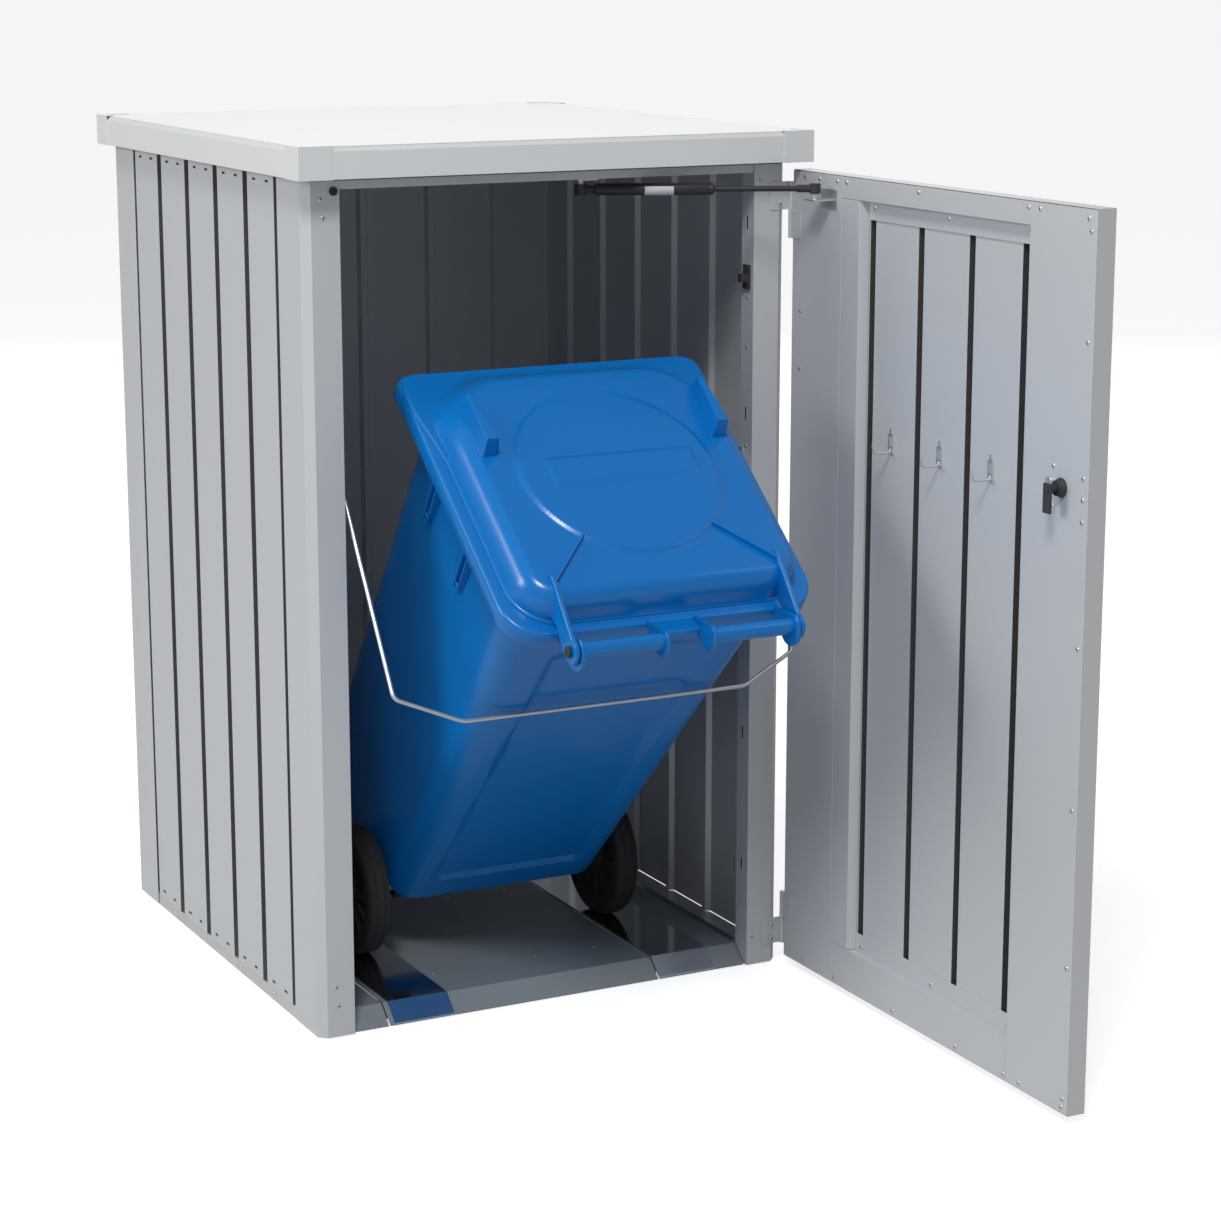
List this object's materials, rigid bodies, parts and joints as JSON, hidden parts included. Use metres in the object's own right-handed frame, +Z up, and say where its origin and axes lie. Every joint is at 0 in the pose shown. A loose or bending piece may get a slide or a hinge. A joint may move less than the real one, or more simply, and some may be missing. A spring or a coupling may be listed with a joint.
{
  "type": "wheeled bin cabinet",
  "caption": "Steel cabinet for a wheeled bin, with a ribbed side-hinged door, gas strut, tilting wire bail, hinged lid and the blue bin leaning out on its wheels.",
  "frame": {"origin": "on the ground, under the middle of the lid", "axes": "+X to the right seen from the door side, +Y to the back, +Z up"},
  "size_m": [0.835, 1.57, 1.275],
  "materials": {
    "silver_paint": "satin metallic paint with a fine grain",
    "lid_paint": "satin metallic paint, lighter on the lid",
    "floor_paint": "dark satin grey sheet",
    "bare_aluminium": "mill-finish extrusion",
    "polished_steel": "polished strip",
    "zinc_plate": "bright zinc plate",
    "wire_steel": "drawn stainless wire",
    "black_enamel": "gloss black enamel",
    "black_nylon": "moulded black nylon",
    "blue_plastic": "moulded blue polyethylene",
    "tyre_rubber": "solid black rubber",
    "buffer_rubber": "soft black rubber"
  },
  "bodies": {
    "cabinet": {"base_rails_side": "bare_aluminium", "base_rail_front": "bare_aluminium", "base_rail_rear": "bare_aluminium", "base_cross_rail": "bare_aluminium", "floor_plate_left": "floor_paint", "floor_plate_middle": "floor_paint", "floor_plate_right": "floor_paint", "wheel_tracks": "polished_steel", "post_front_left": "silver_paint", "post_rear_left": "silver_paint", "post_front_right": "silver_paint", "post_rear_right": "silver_paint", "side_panel_left": "silver_paint", "side_panel_right": "silver_paint", "rear_panel": "silver_paint", "top_rail_front": "silver_paint", "top_rail_rear": "silver_paint", "top_rails_side": "silver_paint", "post_hinge_leaves": "silver_paint", "lid_hinge_leaves": "silver_paint", "door_buffer": "buffer_rubber", "door_catch": "black_nylon", "bail_bushes": "black_nylon", "strut_bracket": "zinc_plate", "cabinet_screws": "zinc_plate"},
    "lid": {"lid_rim_front": "lid_paint", "lid_rim_rear": "lid_paint", "lid_rim_left": "lid_paint", "lid_rim_right": "lid_paint", "lid_sheet": "lid_paint", "lid_corners": "lid_paint", "lid_hinge_flaps": "silver_paint"},
    "door": {"door_skin": "silver_paint", "door_hinge_stile": "silver_paint", "door_lock_stile": "silver_paint", "door_top_rail": "silver_paint", "door_bottom_rail": "silver_paint", "door_jamb": "silver_paint", "door_infill": "silver_paint", "door_hinge_leaves": "silver_paint", "door_hooks": "zinc_plate", "lock_case": "black_nylon", "door_strut_bracket": "zinc_plate", "door_screws": "zinc_plate"},
    "lock": {"lock_cam": "zinc_plate", "lock_grip": "black_nylon"},
    "strut_barrel": {"strut_eye": "black_enamel", "strut_cylinder": "black_enamel"},
    "strut_piston": {"strut_rod": "wire_steel", "strut_socket": "black_nylon"},
    "bail": {"bail_wire": "wire_steel"},
    "bin": {"bin_body": "blue_plastic", "bin_axle": "wire_steel", "bin_axle_brackets": "black_nylon", "bin_lid_pins": "black_nylon"},
    "bin_lid": {"bin_lid": "blue_plastic"},
    "wheel_left": {"wheel_tyre_left": "tyre_rubber", "wheel_hub_left": "black_nylon"},
    "wheel_right": {"wheel_tyre_right": "tyre_rubber", "wheel_hub_right": "black_nylon"}
  },
  "joints": [
    {"name": "door_swing", "type": "hinge", "parent": "cabinet", "child": "door", "pos_m": [0.385, -0.392, 0], "axis": [0, 0, 1], "range_deg": [-90, 0]},
    {"name": "strut_swing", "type": "hinge", "parent": "cabinet", "child": "strut_barrel", "pos_m": [0.056, -0.36, 1.197], "axis": [0, 0, 1], "range_deg": [0, 22.92]},
    {"name": "strut_extend", "type": "slide", "parent": "strut_barrel", "child": "strut_piston", "axis": [0.9083, -0.4183, 0], "range_m": [-0.1137, 0]},
    {"name": "bin_tilt", "type": "hinge", "parent": "cabinet", "child": "bin", "pos_m": [0, -0.121, 0.1273], "axis": [1, 0, 0], "range_deg": [-45, 0]},
    {"name": "bail_swing", "type": "hinge", "parent": "cabinet", "child": "bail", "pos_m": [0, -0.352, 0.8], "axis": [1, 0, 0], "range_deg": [0, 33]},
    {"name": "lid_open", "type": "hinge", "parent": "cabinet", "child": "lid", "pos_m": [0, 0.424, 1.221], "axis": [-1, 0, 0], "range_deg": [0, 60]},
    {"name": "bin_lid_open", "type": "hinge", "parent": "bin", "child": "bin_lid", "pos_m": [0, -0.78285, 0.635], "axis": [1, 0, 0], "range_deg": [0, 95.01]},
    {"name": "lock_turn", "type": "hinge", "parent": "door", "child": "lock", "pos_m": [0.385, -1.082, 0.855], "axis": [-1, 0, 0], "range_deg": [0, 90]},
    {"name": "wheel_spin_left", "type": "hinge", "parent": "bin", "child": "wheel_left", "pos_m": [0, -0.121, 0.1273], "axis": [1, 0, 0], "continuous": true},
    {"name": "wheel_spin_right", "type": "hinge", "parent": "bin", "child": "wheel_right", "pos_m": [0, -0.121, 0.1273], "axis": [1, 0, 0], "continuous": true}
  ],
  "couplings": [
    {"joint": "strut_swing", "follows": "door_swing", "ratio": -0.25459},
    {"joint": "strut_extend", "follows": "door_swing", "m_per_rad": 0.072305},
    {"joint": "bin_tilt", "follows": "door_swing", "ratio": 0.5},
    {"joint": "bail_swing", "follows": "door_swing", "ratio": -0.36667},
    {"joint": "bin_lid_open", "follows": "lid_open", "ratio": 1.5833}
  ]
}
